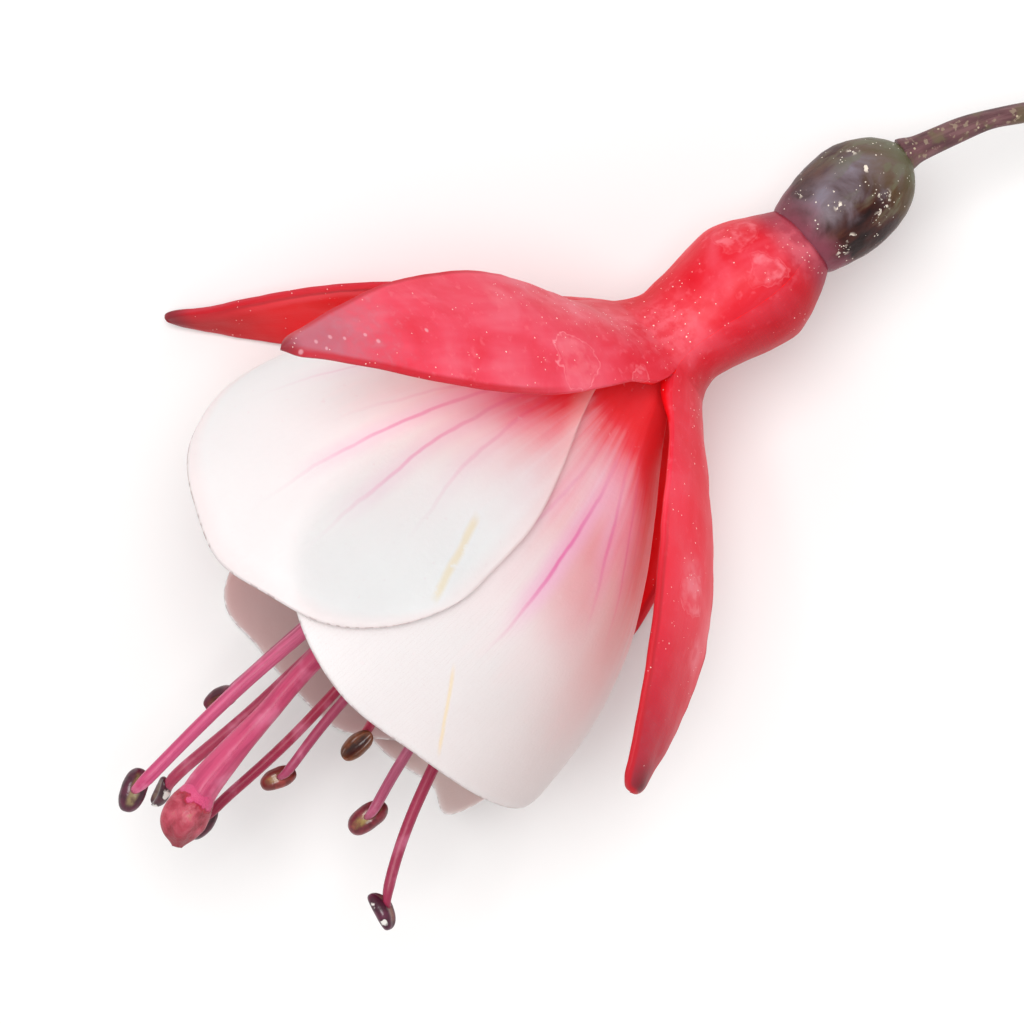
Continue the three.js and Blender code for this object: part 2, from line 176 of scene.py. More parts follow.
def bumps(points, layers):
    """The sum of rough() over layers of a height, a size and a seed."""
    return sum(height * rough(points, size, seed) for height, size, seed in layers)


def add_object(name, data):
    obj = bpy.data.objects.new(name, data)
    bpy.context.scene.collection.objects.link(obj)
    return obj


WELD = 1e-6  # metres, within which points of one piece are the same
FAR = 9.0  # mm from any margin
# The third number of a blade's place: BLADE_KIND times the blade's index, plus INNER_KIND on its inner face.
BLADE_KIND = 10.0
INNER_KIND = 5.0


class Skin:
    """Collects points and faces, and makes them into one closed piece.

    Each point also has a "place", three numbers for its material, and an "edge", how many mm it is from the
    margin."""

    def __init__(self):
        self.points, self.places, self.edges, self.faces, self.count = [], [], [], [], 0

    def grid(self, points, places, edges=FAR, wrap=False):
        """Adds a grid of points with faces between them, and returns the points' numbers."""
        rows, columns = points.shape[:2]
        numbers = self.add(points, places, edges)
        across = range(columns if wrap else columns - 1)
        for i in range(rows - 1):
            for j in across:
                k = (j + 1) % columns
                self.faces.append((numbers[i, j], numbers[i, k], numbers[i + 1, k], numbers[i + 1, j]))
        return numbers

    def add(self, points, places, edges=FAR):
        shape = points.shape[:-1]
        size = int(np.prod(shape))
        numbers = np.arange(self.count, self.count + size).reshape(shape)
        self.points.append(points.reshape(-1, 3))
        self.places.append(np.broadcast_to(places, points.shape).reshape(-1, 3))
        self.edges.append(np.broadcast_to(edges, shape).ravel())
        self.count += size
        return numbers

    def strip(self, first, second):
        """Faces between two rows of numbers."""
        for a, b, c, d in zip(first, first[1:], second[1:], second):
            self.faces.append((a, b, c, d))

    def fan(self, ring, middle):
        for a, b in zip(ring, np.roll(ring, -1)):
            self.faces.append((a, b, middle))

    def tube(self, points, places, ends):
        """Adds a grid that closes round on itself, with a fan at each end about the point given for it."""
        numbers = self.grid(points, places, wrap=True)
        for end, middle in zip((0, -1), ends):
            self.fan(numbers[end], self.add(middle[None], places[end][:1])[0])

    def piece(self, name, material, slot, nodes=None):
        """Makes the mesh, which stands for the CAD solid of the same name, or for the nodes given."""
        nodes = nodes or [name]
        mesh = bpy.data.meshes.new(name + "_skin")
        points = in_row(np.vstack(self.points))
        mesh.from_pydata(points.tolist(), [], [[int(n) for n in face] for face in self.faces])
        attribute = mesh.attributes.new("place", "FLOAT_VECTOR", "POINT")
        attribute.data.foreach_set("vector", np.vstack(self.places).astype(np.float32).ravel())
        attribute = mesh.attributes.new("edge", "FLOAT", "POINT")
        attribute.data.foreach_set("value", np.concatenate(self.edges).astype(np.float32))
        whole = bmesh.new()
        whole.from_mesh(mesh)
        bmesh.ops.remove_doubles(whole, verts=whole.verts, dist=WELD)
        bmesh.ops.recalc_face_normals(whole, faces=whole.faces)
        whole.to_mesh(mesh)
        whole.free()
        mesh.shade_smooth()
        mesh.materials.append(material)
        obj = add_object(name + "_skin", mesh)
        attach(obj, "root")
        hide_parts(*nodes)


def swept(line, radius_at, sides):
    """A Skin swept along a line at radius_at(t, angle) from it. Its place is mm along, angle and radius."""
    across, up = frames_along(line, (0, 0, 1))
    steps = len(line) - 1
    t = np.linspace(0, 1, steps + 1)[:, None]
    angle = np.linspace(0, 360, sides, endpoint=False)[None, :]
    radius = np.broadcast_to(radius_at(t, angle), (steps + 1, sides))
    ring = across[:, None] * cos(angle)[..., None] + up[:, None] * sin(angle)[..., None]
    points = line[:, None] + radius[..., None] * ring
    skin = Skin()
    skin.tube(points, stacked(lengths_along(line)[:, None], angle, radius), (line[0], line[-1]))
    return skin


# ---------------------------------------------------------------- calyx

TUBE_OUTSIDE = [
    (-13.1, 2.6), (-11.4, 3.56), (-10.2, 4.14), (-8.9, 4.48), (-7.3, 4.36),
    (-5.6, 4.02), (-4.0, 3.76), (-3.0, 3.64), (-2.1, 3.88), (-1.5, 4.2), (-0.98, 4.62),
]
TUBE_BOW = dict(depth=-0.65, start=1.0, over=10.0)
TUBE_WALL = 1.25
SEPAL_START = dict(reach=-0.18, radius=4.58)
SEPAL_THICKNESS = dict(base=1.1, tip=0.9)
SEPAL_CUP = dict(base=1.1, tip=0.35)
SEPAL_TWISTED_BY = 0.4
SEPAL_HOOK_POWER = 4
SEPAL_MARGIN = dict(thickness=0.45, bulge=0.12)
SEPAL_TIP_FROM = 0.96  # the share of a sepal's length at which its end begins to round off
SINUS_BLEND = 0.11  # the share of a sepal's length over which the round rim turns into four blades
QUARTERS = [19.5, 109.5, 200.0, 290.0, 379.5]  # azimuths of the notches between the sepals
SEPALS = [
    dict(name="front_upper", azimuth=63.2, drift=-4.5, hook=0, length=30.6, flare=(62, 42), twist=-16,
         half_widths=[3.1, 3.9, 4.4, 4.35, 3.5, 1.9, 0.2]),
    dict(name="front_lower", azimuth=155, drift=-5.5, hook=0, length=27.2, flare=(57.5, 28), twist=6,
         half_widths=[2.7, 3.9, 4.5, 4.5, 3.7, 2.35, 1.0]),
    dict(name="back_lower", azimuth=239.4, drift=0.2, hook=0, length=28, flare=(60, 46), twist=0,
         half_widths=[3.1, 3.9, 4.4, 4.35, 3.5, 2.1, 0.5]),
    dict(name="back_upper", azimuth=335, drift=-11.8, hook=6.4, length=31.4, flare=(52, 43), twist=0,
         half_widths=[3.1, 3.9, 4.4, 4.35, 3.65, 2.25, 0.5]),
]
MEAN_SEPAL = dict(length=29.3, flare=(58, 40))
CALYX_BUMPS = [(0.11, 3.2, 3.0), (0.05, 1.1, 9.0)]  # height, size, seed


def bow_at(reach):
    return TUBE_BOW["depth"] * smooth((-reach - TUBE_BOW["start"]) / TUBE_BOW["over"])


def midline(u, length, flare):
    """Reach, radius and lean of a sepal's midline at u from 0 to 1."""
    bend = np.radians(flare[0] - flare[1])
    lean = lerp(flare[0], flare[1], u)
    reach = SEPAL_START["reach"] + length * (sin(flare[0]) - sin(lean)) / bend
    radius = SEPAL_START["radius"] + length * (cos(lean) - cos(flare[0])) / bend
    return reach, radius, lean


def sepal_blade(u, x, azimuth, drift, hook, length, flare, twist, half_widths, **_):
    """Middle points and outward normals of a sepal's blade, x from -1 to 1 across it."""
    reach, radius, lean = midline(u, length, flare)
    turn = azimuth + drift * smooth(u) + hook * u**SEPAL_HOOK_POWER
    leaned = around(0, turn, cos(lean)) + at(-sin(lean), 0, 0)
    square = around(0, turn + 90, 1.0)
    twisted = (twist * smooth(u / SEPAL_TWISTED_BY))[..., None]
    outward = leaned * cos(twisted) - square * sin(twisted)
    sideways = square * cos(twisted) + leaned * sin(twisted)
    end = np.clip((u - SEPAL_TIP_FROM) / (1 - SEPAL_TIP_FROM), 0, 1)
    half_width = spline(half_widths, u) * np.sqrt(1 - end**2)
    cup = lerp(SEPAL_CUP["base"], SEPAL_CUP["tip"], smooth(u)) * np.sqrt(1 - end**2)
    across = x * half_width
    middle = around(reach, turn, radius) + sideways * across[..., None] - outward * (cup * x**2)[..., None]
    slope = 2 * cup * x / np.maximum(half_width, 0.5)
    normal = unit(outward + sideways * slope[..., None])
    thickness = lerp(SEPAL_THICKNESS["base"], SEPAL_THICKNESS["tip"], u) * np.sqrt(1 - end**2)
    return middle, normal, thickness, across


def calyx(material):
    columns, tube_rows = 26, 40
    x = sin(np.linspace(-90, 90, columns + 1))[None, :]
    # The rim's profile runs on as the mean sepal's outer face, so that the tube flares into all four.
    run_on = 0.05
    on = np.arange(1, 6) * run_on
    reach, radius, lean = midline(on, **MEAN_SEPAL)
    half = SEPAL_THICKNESS["base"] / 2
    flared = stacked(reach - half * sin(lean), radius + half * cos(lean))
    profile = np.vstack([TUBE_OUTSIDE, flared])
    rim = len(TUBE_OUTSIDE) - 1

    def trumpet(node):
        """Reach, radius and lean of the tube's outside at `node` on its profile, the rim being `rim`."""
        share = node / (len(profile) - 1)
        here = spline(profile, share)
        ahead = spline(profile, share + 1e-3) - spline(profile, share - 1e-3)
        return here[..., 0], here[..., 1], np.degrees(np.arctan2(ahead[..., 1], ahead[..., 0]))

    tip_u = lerp(SEPAL_TIP_FROM, 1, sin(np.linspace(0, 90, 9)[1:]))
    u = np.concatenate([np.linspace(0, SEPAL_TIP_FROM, 62), tip_u])
    tube_node = np.linspace(0, rim, tube_rows, endpoint=False)
    node = np.concatenate([tube_node, rim + np.minimum(u / run_on, 5)])
    sepal_u = np.concatenate([np.zeros(tube_rows), u])[:, None]
    blended = smooth(sepal_u / SINUS_BLEND)
    t_reach, t_radius, t_lean = (value[:, None] for value in trumpet(node))
    skin = Skin()
    for index, sepal in enumerate(SEPALS):
        azimuth = lerp(QUARTERS[index], QUARTERS[index + 1], (x + 1) / 2)
        round_points = around(t_reach, azimuth, t_radius)
        round_points[..., 1] += bow_at(t_reach)
        round_normals = around(0 * t_reach, azimuth, cos(t_lean)) + at(-sin(t_lean), 0 * x, 0)
        grid_u, grid_x = np.broadcast_arrays(sepal_u, x)
        middle, blade_normals, thickness, across = sepal_blade(grid_u, grid_x, **sepal)
        middle = pressed(middle, SEPAL_THICKNESS["tip"] / 2)
        blade_points = middle + blade_normals * (thickness / 2)[..., None]
        share = blended[..., None]
        normals = unit(lerp(round_normals, blade_normals, share))
        points = lerp(round_points, blade_points, share)
        fade = np.clip((1 - grid_u) / 0.05, 0, 1)
        points = points + normals * (bumps(points, CALYX_BUMPS) * fade)[..., None]
        full = lerp(TUBE_WALL, thickness, blended)
        margin = np.minimum(SEPAL_MARGIN["thickness"], full)
        wall = lerp(full, lerp(full, margin, np.abs(x) ** 3), blended)
        inside = points - normals * wall[..., None]
        along = np.concatenate([t_reach[:tube_rows, 0], sepal["length"] * u])[:, None]
        width = lerp(t_radius * np.radians(azimuth - sepal["azimuth"]), across, blended)
        kind = BLADE_KIND * index
        from_side = (1 - np.abs(grid_x)) * spline(sepal["half_widths"], grid_u)
        from_tip = (1 - grid_u) * sepal["length"]
        edge = lerp(FAR, np.minimum(from_side, from_tip), blended)
        outer = skin.grid(points, stacked(along, width, kind), edge)
        inner = skin.grid(inside, stacked(along, width, kind + INNER_KIND), edge)
        for column, side in ((0, -1), (-1, 1)):
            free = slice(tube_rows, None)
            out = points[free, column] - points[free, column - side]
            out = out / np.maximum(np.linalg.norm(out, axis=-1, keepdims=True), 1e-6)
            bulge = SEPAL_MARGIN["bulge"] * blended[free, :1] * fade[free, column][:, None]
            middle_edge = (points[free, column] + inside[free, column]) / 2 + out * bulge
            places = stacked(along[free, 0], width[free, column], kind + INNER_KIND / 2)
            rounded = skin.add(middle_edge, places, edge[free, column])
            skin.strip(outer[free, column], rounded)
            skin.strip(rounded, inner[free, column])
        skin.strip(outer[0], inner[0])
    nodes = ["calyx_tube"] + ["sepal_" + sepal["name"] for sepal in SEPALS]
    skin.piece("calyx", material, "sepal", nodes)


# ---------------------------------------------------------------- corolla

BELL = dict(throat=2.5, mouth=16.7, opening=11.7, power=1.52)
PETAL_ROOT = -1.5
CLAW_HALF_ANGLE = 38
WIDENING = dict(until=15, power=2.1)  # the reach at which a blade is at full width, and how soon it widens
PETAL_LAYER = dict(step=0.5, within=2, turn=0.3)
RIM_WAVE = dict(height=0.35, count=5, phase=40, start=17, end=30)
PETAL_THICKNESS = 0.26
PETAL_MARGIN = 60  # how steeply a petal's thickness rises from its margins
PETAL_OUTWARD = 0.17  # brings a petal's outer face to where its CAD solid has it
PETALS = [
    dict(name="front_upper", claw=20, blade=47, half=57, layers=(2.1, 0.6),
         outline=[16, 17.5, 19, 20.6, 23.0, 26.5, 28.5, 29.6, 28.7, 27.3, 24.6, 21.4, 18.8]),
    dict(name="front_lower", claw=110, blade=125, half=62, layers=(-0.8, 1),
         outline=[18, 24.5, 28, 29.3, 28.1, 26.5, 24.6, 22.6, 18.5]),
    dict(name="back_lower", claw=200, blade=225.4, half=62, layers=(-1, 1),
         outline=[18, 19.5, 21, 22, 24, 28.7, 28.3, 29.2, 29, 28.3, 27, 24, 19]),
    dict(name="back_upper", claw=290, blade=296, half=62, layers=(-1, -1),
         outline=[22, 26.5, 28.6, 30.5, 30.9, 30.9, 30.1, 22, 23, 22.5, 21, 18.5, 16.5]),
]


def bell_radius(reach):
    share = 1 - np.exp(-((np.maximum(reach, 0) / BELL["opening"]) ** BELL["power"]))
    return lerp(BELL["throat"], BELL["mouth"], share)


def petal(index, material):
    p = PETALS[index]
    rows, columns = 132, 156
    u = np.concatenate([np.linspace(0, 0.985, rows), [0.994, 1.0]])[:, None]
    v = np.linspace(0, 1, columns + 1)[None, :]
    across = sin(lerp(-90, 90, v))
    reach = lerp(PETAL_ROOT, spline(p["outline"], v), u)
    widened = 1 - (1 - np.clip(reach / WIDENING["until"], 0, 1)) ** WIDENING["power"]
    azimuth = lerp(p["claw"], p["blade"], widened) + across * lerp(CLAW_HALF_ANGLE, p["half"], widened)
    near_rim = smooth((reach - RIM_WAVE["start"]) / (RIM_WAVE["end"] - RIM_WAVE["start"]))
    wave = RIM_WAVE["height"] * near_rim * sin(RIM_WAVE["count"] * azimuth + RIM_WAVE["phase"])
    side = lerp(p["layers"][0], p["layers"][1], smooth((across / PETAL_LAYER["turn"] + 1) / 2))
    layer = PETAL_LAYER["step"] * smooth(reach / PETAL_LAYER["within"]) * side
    slope = np.arctan((bell_radius(reach + 0.05) - bell_radius(reach - 0.05)) / 0.1)
    outward = layer + wave + PETAL_OUTWARD
    radius = bell_radius(reach)
    middle = around(reach - outward * np.sin(slope), azimuth, radius + outward * np.cos(slope))
    normal = around(0 * reach, azimuth, np.cos(slope)) + at(-np.sin(slope), 0, 0)
    crinkle = 0.16 * rough(middle, 5.0, 20.0 + index) + 0.035 * rough(middle, 1.6, 31.0) * near_rim
    middle = middle + normal * (crinkle * smooth(reach / 8))[..., None]
    middle = pressed(middle, PETAL_THICKNESS / 2 + PETAL_LAYER["step"] - layer)
    edge = (1 - np.abs(across)) * PETAL_MARGIN * smooth((reach - PETAL_ROOT) / 4)
    rim = (1 - u) * PETAL_MARGIN
    thin = np.sqrt(np.clip(np.minimum(edge, rim), 0, 1))
    half = PETAL_THICKNESS / 2 * thin * lerp(1.0, 0.7, smooth(reach / 25))
    half_girth = np.radians(lerp(CLAW_HALF_ANGLE, p["half"], widened)) * radius
    from_margin = np.minimum((1 - np.abs(across)) * half_girth, (1 - u) * spline(p["outline"], v))
    skin = Skin()
    for side, kind in ((1, 0.0), (-1, INNER_KIND)):
        places = stacked(reach, azimuth, kind + BLADE_KIND * index)
        skin.grid(middle + side * normal * half[..., None], places, from_margin)
    skin.piece("petal_" + p["name"], material, "petal")


# ---------------------------------------------------------------- ovary and stalk

OVARY_PROFILE = [
    (-12.7, 2.3), (-13.2, 2.7), (-14.4, 3.1), (-15.9, 3.4), (-17.8, 3.46), (-19.4, 3.1),
    (-20.7, 2.42), (-21.5, 1.65), (-22, 0.9),
]
OVARY_RIDGES = dict(count=4, height=0.06)
OVARY_BUMPS = [(0.1, 2.4, 5.0), (0.035, 0.7, 8.0)]  # height, size, seed
# Reach, y and the height above the floor.
STALK_PATH = [
    (-22.3, -0.9, 12.3), (-24.2, -1.45, 12.05), (-26, -2, 11.7), (-27.8, -2.7, 11.15), (-30.6, -4.2, 9.9),
    (-34, -5.9, 7.8), (-38.5, -7.7, 4.9), (-43, -9, 2.4), (-47.5, -9.9, 1), (-52, -10.3, 0.62),
]
STALK_RADIUS = dict(ovary=0.86, cut=0.64, over=0.3)


def ovary(material):
    rows, sides = 60, 64
    t = np.linspace(0, 1, rows)[:, None]
    azimuth = np.linspace(0, 360, sides, endpoint=False)[None, :]
    profile = spline(OVARY_PROFILE, t)
    reach, radius = profile[..., 0], profile[..., 1]
    swell = sin(180 * t)
    ridge = OVARY_RIDGES["height"] * swell * cos(OVARY_RIDGES["count"] * azimuth)
    points = around(reach, azimuth, radius + ridge)
    points[..., 1] += bow_at(reach)
    outward = unit(points - at(reach, bow_at(reach), 0))
    points = points + outward * bumps(points, OVARY_BUMPS)[..., None]
    skin = Skin()
    skin.tube(points, stacked(reach, azimuth, radius), (points[0].mean(0), points[-1].mean(0)))
    skin.piece("ovary", material, "ovary")


def stalk(material):
    path = []
    for reach, y, height in STALK_PATH:
        point = at(reach, y, 0.0)
        path.append(point + FLOOR_UP * (height - height_of(point)))
    path[0] = path[0] + unit(path[0] - path[1]) * 0.5
    line = curve_through(path, 150)

    def radius_at(t, angle):
        even = lerp(STALK_RADIUS["ovary"], STALK_RADIUS["cut"], smooth(t / STALK_RADIUS["over"]))
        swollen = 0.28 * np.exp(-((t / 0.02) ** 2))
        knots = 0.035 * sin(1450 * t) * sin(390 * t + 40) + 0.02 * sin(2900 * t + 70)
        return even + swollen + knots + 0.02 * cos(5 * angle + 200 * t)

    swept(line, radius_at, 32).piece("stalk", material, "stalk")


# ---------------------------------------------------------------- stamens and pistil

FILAMENT_ROOT = dict(reach=-3.4, radius=1.5)
ANTHER = dict(length=2.95, width=1.696, thickness=1.3, front_groove=0.375, back_groove=0.12, bow=0.35)
STAMENS = [
    dict(root=65, way=(32.8, 1.4, 3.9), tip=(42.5, 0.8, 4.6), radius=0.47, size=1,
         anther=(43.05, 0.85, 3.4), along=(2.7, -1.5, 0.2), back=(-0.3, 0, 1)),
    dict(root=20, way=(29, 1.7, -0.8), tip=(33.5, 1.65, -1.6), radius=0.36, size=0.85,
         anther=(34.95, 1.7, -1.9), along=(2.3, 0.6, -1.2), back=(-1, 0, -0.6)),
    dict(root=335, way=(33.5, -0.22, -1.8), tip=(41, -0.25, -1.6), radius=0.42, size=0.82,
         anther=(41.9, -0.42, -2.5), along=(1.9, -0.8, -1.8), back=(-0.9, 0, 0.5)),
    dict(root=290, way=(33, -3.25, -2.9), tip=(39.7, -3.45, -3.15), radius=0.37, size=0.92,
         anther=(41.3, -3.6, -3.7), along=(2.6, -0.5, -0.6), back=(-0.3, 0, 1)),
    dict(root=110, way=(30.65, -3.86, 1.6), tip=(35.15, -4.73, 1.6), radius=0.34, size=0.83,
         anther=(35.6, -4.65, 0.65), along=(2.3, 0.8, 0.3), back=(-0.3, 0, 1)),
    dict(root=245, way=(27.2, -5.5, -3.9), tip=(29.4, -6.25, -5.1), radius=0.34, size=0.85,
         anther=(30.4, -6.45, -4.2), along=(2.5, 0, 0.2), back=(-0.5, 0.1, -0.9)),
    dict(root=200, way=(29.25, -9.2, -0.3), tip=(32.5, -10.3, 0.1), radius=0.38, size=1,
         anther=(32.95, -10.4, -1.05), along=(3, 0.2, -0.2), back=(-0.4, 0.1, 0.9)),
    dict(root=155, way=(30, -11.7, 2.7), tip=(35.2, -14.8, 3.3), radius=0.4, size=0.9,
         anther=(36.05, -15.4, 2.9), along=(0.6, -2.5, 0.4), back=(-0.8, 0, 0.5)),
]
STYLE_PATH = [
    (-12.9, -0.65, 0), (-6, -0.25, 0), (0, 0, 0), (14, 0, 0.7), (29.3, -0.45, 1.3),
    (33.45, -1, 1.6), (36.8, -1.4, 1.75), (39.5, -1.85, 1.8), (40.25, -2.1, 1.8),
]
STYLE_RADII = [0.45, 0.45, 0.46, 0.5, 0.55, 0.6, 0.66, 0.72, 1.08]
STIGMA_PATH = [(39.6, -1.88, 1.8), (40.4, -2.13, 1.8), (42, -2.7, 1.8), (43.4, -3.7, 1.7)]
STIGMA_RADII = [0.95, 1.18, 1.36, 1.41, 1.32, 0.95, 0.3]
STIGMA_LOBES = dict(count=4, depth=0.1, phase=30)


def anther_frame(stamen):
    """An anther's middle, and the directions of its length, its width and its back."""
    length = unit(at(*stamen["along"]))
    back = at(*stamen["back"])
    back = unit(back - length * (back @ length))
    return at(*stamen["anther"]), length, np.cross(back, length), back


def filament(index, material):
    stamen = STAMENS[index]
    middle, _, _, back = anther_frame(stamen)
    root = around(FILAMENT_ROOT["reach"], stamen["root"], FILAMENT_ROOT["radius"])
    rim = around(1.0, stamen["root"], FILAMENT_ROOT["radius"])
    end = middle + back * (ANTHER["thickness"] / 2 * stamen["size"] - 0.25)
    line = curve_through([root, rim, at(*stamen["way"]), at(*stamen["tip"]), end], 90)

    def radius_at(t, angle):
        even = stamen["radius"] * lerp(1.06, 0.94, t)
        narrowed = 1 - 0.35 * smooth((t - 0.965) / 0.035)
        return even * narrowed * (1 + 0.03 * sin(700 * t + 50 * index) + 0.03 * cos(2 * angle + 300 * t))

    swept(line, radius_at, 20).piece("filament_" + str(index + 1), material, "filament")


def anther(index, material):
    stamen = STAMENS[index]
    middle, length, width, back = anther_frame(stamen)
    rows, sides = 40, 48
    t = np.linspace(-90, 90, rows + 1)[:, None]
    angle = np.linspace(0, 360, sides, endpoint=False)[None, :]
    x = ANTHER["length"] / 2 * sin(t)
    ring = cos(t) ** 0.8
    front = np.maximum(-sin(angle), 0)
    behind = np.maximum(sin(angle), 0)
    groove = ANTHER["front_groove"] * front**10 + ANTHER["back_groove"] * behind**14
    y = ANTHER["width"] / 2 * cos(angle) * ring
    bow = ANTHER["bow"] * (2 * x / ANTHER["length"]) ** 2
    z = (ANTHER["thickness"] / 2 - groove) * sin(angle) * ring - bow
    local = stamen["size"] * (x[..., None] * length + y[..., None] * width + z[..., None] * back)
    points = middle + local
    points = points + 0.05 * rough(points, 0.7, 2.0 + index)[..., None] * unit(local + 1e-6)
    skin = Skin()
    skin.grid(points, stacked(x, angle, float(index)), wrap=True)
    skin.piece("anther_" + str(index + 1), material, "anther")


def style(material):
    line = curve_through([at(*point) for point in STYLE_PATH], 140)

    def radius_at(t, angle):
        return spline(STYLE_RADII, t) * (1 + 0.05 * smooth((t - 0.8) / 0.2) * cos(4 * angle + 30))

    swept(line, radius_at, 32).piece("style", material, "pistil")


def stigma(material):
    line = curve_through([at(*point) for point in STIGMA_PATH], 48)

    def radius_at(t, angle):
        turned = cos(STIGMA_LOBES["count"] * angle + STIGMA_LOBES["phase"])
        return spline(STIGMA_RADII, t) * (1 + STIGMA_LOBES["depth"] * smooth(1.4 * t) * turned)

    swept(line, radius_at, 48).piece("stigma", material, "pistil")


# ---------------------------------------------------------------- materials

def srgb(code, gain=1.0):
    """A linear colour from a hex code as seen on screen, brightened by gain."""
    parts = [int(code[i:i + 2], 16) / 255 for i in (1, 3, 5)]
    return (*(gain * (c / 12.92 if c <= 0.04045 else ((c + 0.055) / 1.055) ** 2.4) for c in parts), 1.0)


def feed(node, fed):
    """Links or sets a node's inputs, given by number or by name."""
    for key, value in fed.items():
        if isinstance(value, bpy.types.NodeSocket):
            node.id_data.links.new(value, node.inputs[key])
        else:
            node.inputs[key].default_value = value


def new_node(kind, fed, **settings):
    """A node in the tree of the sockets that feed it."""
    tree = next(value.id_data for value in fed.values() if isinstance(value, bpy.types.NodeSocket))
    node = tree.nodes.new(kind)
    for name, setting in settings.items():
        setattr(node, name, setting)
    feed(node, fed)
    return node


def node_math(operation, *values):
    return new_node("ShaderNodeMath", dict(enumerate(values)), operation=operation).outputs[0]


def vector_math(operation, a, b):
    node = new_node("ShaderNodeVectorMath", {0: a, 1: b}, operation=operation)
    return node.outputs["Value" if operation == "DISTANCE" else "Vector"]


def times(*values):
    return reduce(lambda a, b: node_math("MULTIPLY", a, b), values)


def plus(*values):
    return reduce(lambda a, b: node_math("ADD", a, b), values)


def most(*values):
    return reduce(lambda a, b: node_math("MAXIMUM", a, b), values)


def minus(a, b):
    return node_math("SUBTRACT", a, b)


def apart(a, b):
    return node_math("ABSOLUTE", minus(a, b))


def swing(value, by):
    """Noise moved to swing about 0, and scaled."""
    return times(minus(value, 0.5), by)


def step(value, low, high, to_low=0.0, to_high=1.0):
    """Smoothly from to_low at low to to_high at high, whichever of them is larger."""
    if low > high:
        low, high, to_low, to_high = high, low, to_high, to_low
    fed = dict(enumerate((value, low, high, to_low, to_high)))
    return new_node("ShaderNodeMapRange", fed, interpolation_type="SMOOTHSTEP").outputs[0]


def band(value, start, full, fade, end):
    """Rises from 0 at start to 1 at full, and falls from 1 at fade to 0 at end."""
    return times(step(value, start, full), step(value, end, fade))


def mix(factor, a, b):
    return new_node("ShaderNodeMix", {0: factor, 6: a, 7: b}, data_type="RGBA").outputs[2]


def ramp(value, stops):
    node = new_node("ShaderNodeValToRGB", {0: value})
    elements = node.color_ramp.elements
    while len(elements) < len(stops):
        elements.new(0.5)
    for element, (position, code) in zip(elements, stops):
        element.position = position
        element.color = srgb(code)
    return node.outputs[0]


def separated(vector):
    return new_node("ShaderNodeSeparateXYZ", {0: vector}).outputs


class Paint:
    """A node material, with what its masks are made from: the place on the piece and in the row frame, in mm.

    The colour starts as a ramp or a mix, and coat() lays further colours over it."""

    def __init__(self, name):
        self.material = bpy.data.materials.new(name)
        self.material.use_nodes = True
        self.nodes = self.material.node_tree.nodes
        self.shader = self.nodes["Principled BSDF"]
        in_metres = self.nodes.new("ShaderNodeTexCoord").outputs["Object"]
        self.where = vector_math("MULTIPLY", in_metres, (1 / MM,) * 3)
        self.place = self.attribute("place").outputs["Vector"]
        self.along, self.across, self.kind = separated(self.place)
        self.side = separated(self.where)[1]
        self.edge = self.attribute("edge").outputs["Fac"]
        self.colour = None

    def attribute(self, name):
        node = self.nodes.new("ShaderNodeAttribute")
        node.attribute_name = name
        return node

    def inner(self):
        """0 on a blade's outer face and 1 on its inner face."""
        return step(node_math("MODULO", self.kind, BLADE_KIND), 0.2 * INNER_KIND, 0.8 * INNER_KIND)

    def coat(self, mask, code):
        """Lays a colour over the present one, as far as the mask says."""
        self.colour = mix(mask, self.colour, srgb(code))

    def noise(self, scale, detail, where=None, distortion=0.0):
        fed = {"Vector": where or self.where, "Scale": scale, "Detail": detail, "Distortion": distortion}
        return new_node("ShaderNodeTexNoise", fed).outputs[0]

    def streaks(self, *stretch, detail=3.0):
        """Noise drawn out along the piece: the place attribute, scaled, gives its coordinates."""
        return self.noise(1.0, detail, where=vector_math("MULTIPLY", self.place, stretch))

    def grains(self, scale, size, density):
        """Scattered specks: `scale` cells to a mm, a speck about `size` cells wide where density allows."""
        cells = new_node("ShaderNodeTexVoronoi", {"Vector": self.where, "Scale": scale}).outputs
        lot = new_node("ShaderNodeSeparateColor", {0: cells["Color"]}).outputs
        chosen = node_math("LESS_THAN", lot[0], density)
        width = times(plus(lot[1], 0.45), size)
        return times(chosen, node_math("LESS_THAN", cells["Distance"], width))

    def distance(self, point):
        return vector_math("DISTANCE", self.where, point)

    def near(self, point, size, soft):
        """1 within about `size` mm of a point in the row frame."""
        return step(self.distance(point), size + soft, size - soft)

    def near_any(self, spots, soft, scale=1.0):
        """near() for several points and their sizes, with soft and scale as shares of each size."""
        return most(0.0, *(self.near(point, scale * size, soft * size) for point, size in spots))

    def bump(self, height, strength, distance):
        node = new_node("ShaderNodeBump", {"Height": height, "Strength": strength, "Distance": distance})
        feed(self.shader, {"Normal": node.outputs[0]})

    def surface(self, roughness, gloss):
        fed = {"Base Color": self.colour, "Roughness": roughness, "Specular IOR Level": gloss}
        feed(self.shader, fed)

    def subsurface(self, weight, radius, scale):
        fed = {"Subsurface Weight": weight, "Subsurface Radius": radius, "Subsurface Scale": scale}
        feed(self.shader, fed)


